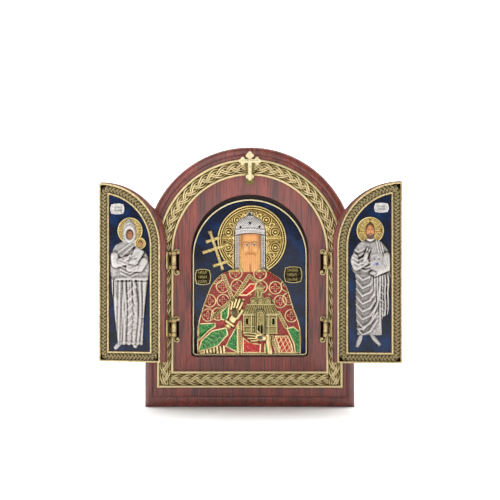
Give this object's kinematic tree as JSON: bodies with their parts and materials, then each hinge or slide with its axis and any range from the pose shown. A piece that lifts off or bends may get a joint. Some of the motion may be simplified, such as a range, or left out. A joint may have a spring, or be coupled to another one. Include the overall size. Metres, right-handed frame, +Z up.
{
  "type": "triptych altarpiece",
  "caption": "Small wooden table triptych with a knotwork metal frame, an enamelled relief icon and two arched hinged doors that a cross-shaped turn button holds shut.",
  "frame": {"origin": "on the flat underside, at the middle of the width and of the panel's thickness", "axes": "+Z up, the front faces -Y, +X to the right of someone who looks at the icon"},
  "size_m": [0.1725, 0.0406, 0.15],
  "materials": {
    "panel_wood": "lacquered reddish mahogany with a vertical grain",
    "frame_brass": "antiqued brass, dark in the grooves and rubbed bright on the ridges",
    "latch_brass": "pale satin brass",
    "gilding": "gilded relief",
    "antique_brass": "dark antiqued brass",
    "silver_relief": "silvered cast relief, greyed in the folds",
    "navy_enamel": "deep blue enamel",
    "robe_enamel": "gilded relief with transparent red and green enamel",
    "painted_face": "warm painted skin and beard"
  },
  "bodies": {
    "panel": {"church_model": "antique_brass", "hand_cross": "gilding", "hinge_fixed_left_lower": "frame_brass", "hinge_fixed_left_upper": "frame_brass", "hinge_fixed_right_lower": "frame_brass", "hinge_fixed_right_upper": "frame_brass", "icon_enamel": "navy_enamel", "icon_label_left": "antique_brass", "icon_label_right": "antique_brass", "icon_rim": "frame_brass", "knotwork_frame": "frame_brass", "saint_cap": "silver_relief", "saint_face": "painted_face", "saint_halo": "gilding", "saint_robe": "robe_enamel", "wood_panel": "panel_wood"},
    "door_left": {"door_board_left": "panel_wood", "door_frame_left": "frame_brass", "door_enamel_left": "navy_enamel", "mother_halo": "gilding", "mother_figure": "silver_relief", "mother_face": "painted_face", "child_head": "gilding", "label_left": "silver_relief", "hinge_door_left_lower": "frame_brass", "hinge_door_left_upper": "frame_brass"},
    "door_right": {"door_board_right": "panel_wood", "door_frame_right": "frame_brass", "door_enamel_right": "navy_enamel", "teacher_halo": "gilding", "teacher_figure": "silver_relief", "teacher_head": "painted_face", "label_right": "silver_relief", "hinge_door_right_lower": "frame_brass", "hinge_door_right_upper": "frame_brass"},
    "latch": {"latch_cross": "latch_brass"}
  },
  "joints": [
    {"name": "door_left_hinge", "type": "hinge", "parent": "panel", "child": "door_left", "pos_m": [-0.0433, -0.0182, 0.0777], "axis": [0, 0, 1], "range_deg": [0, 192]},
    {"name": "door_right_hinge", "type": "hinge", "parent": "panel", "child": "door_right", "pos_m": [0.0433, -0.0182, 0.0777], "axis": [0, 0, -1], "range_deg": [-16, 176]},
    {"name": "latch_turn", "type": "hinge", "parent": "panel", "child": "latch", "pos_m": [0, -0.0146, 0.141], "axis": [0, 1, 0], "range_deg": [-90, 90]}
  ]
}
